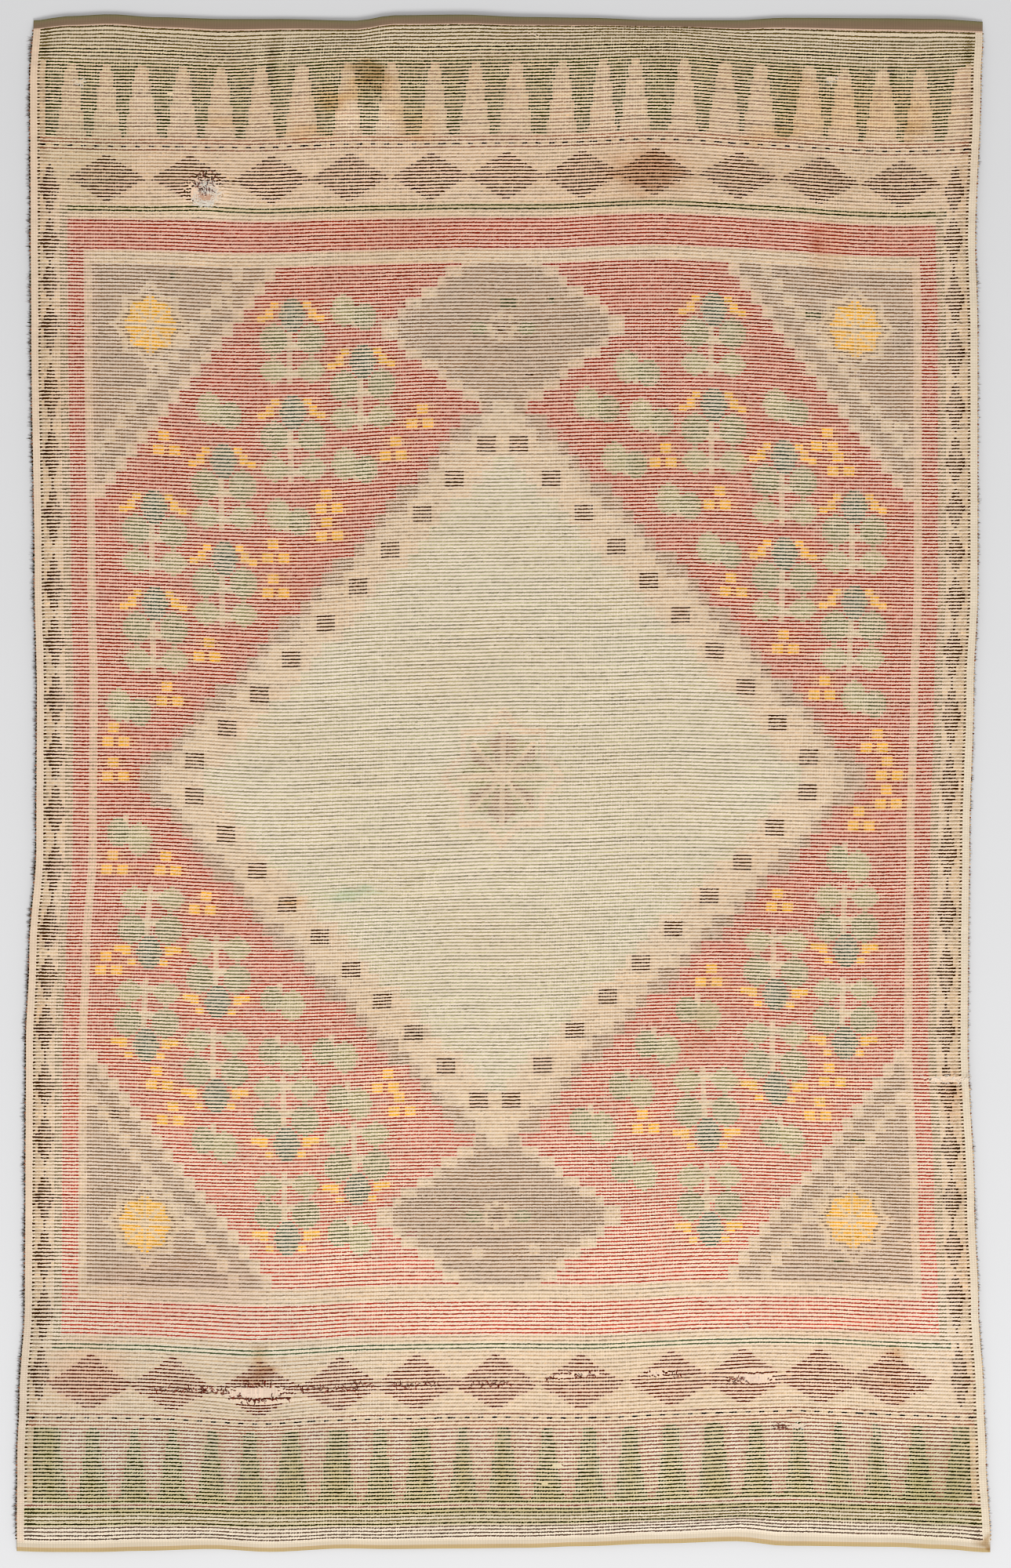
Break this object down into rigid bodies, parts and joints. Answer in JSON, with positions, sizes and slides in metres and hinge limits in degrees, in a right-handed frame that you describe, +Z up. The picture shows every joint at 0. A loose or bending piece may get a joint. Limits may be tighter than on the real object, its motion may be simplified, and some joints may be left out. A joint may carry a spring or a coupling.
{
  "type": "rya rug",
  "caption": "Knotted-pile wool rug lying pile down with its woven back up, gently rippled, with bordered field, end bands and locks of pile at its rim.",
  "frame": {"origin": "middle of the rug's plan, at the level of the surface that its pile rests on", "axes": "+Z up, out of the woven back; +Y along the rug's length towards its head end; +X across it, to the right with the head end away from the viewer"},
  "size_m": [1.6724, 2.6332, 0.0155],
  "materials": {
    "woven_back": "matt cream wool ground, warp ribbed, with rows of dyed wool knots",
    "wool_pile": "matt wool pile in muted red, brown, green and cream"
  },
  "bodies": {
    "root": {"ground": "woven_back", "pile": "wool_pile"}
  },
  "joints": []
}
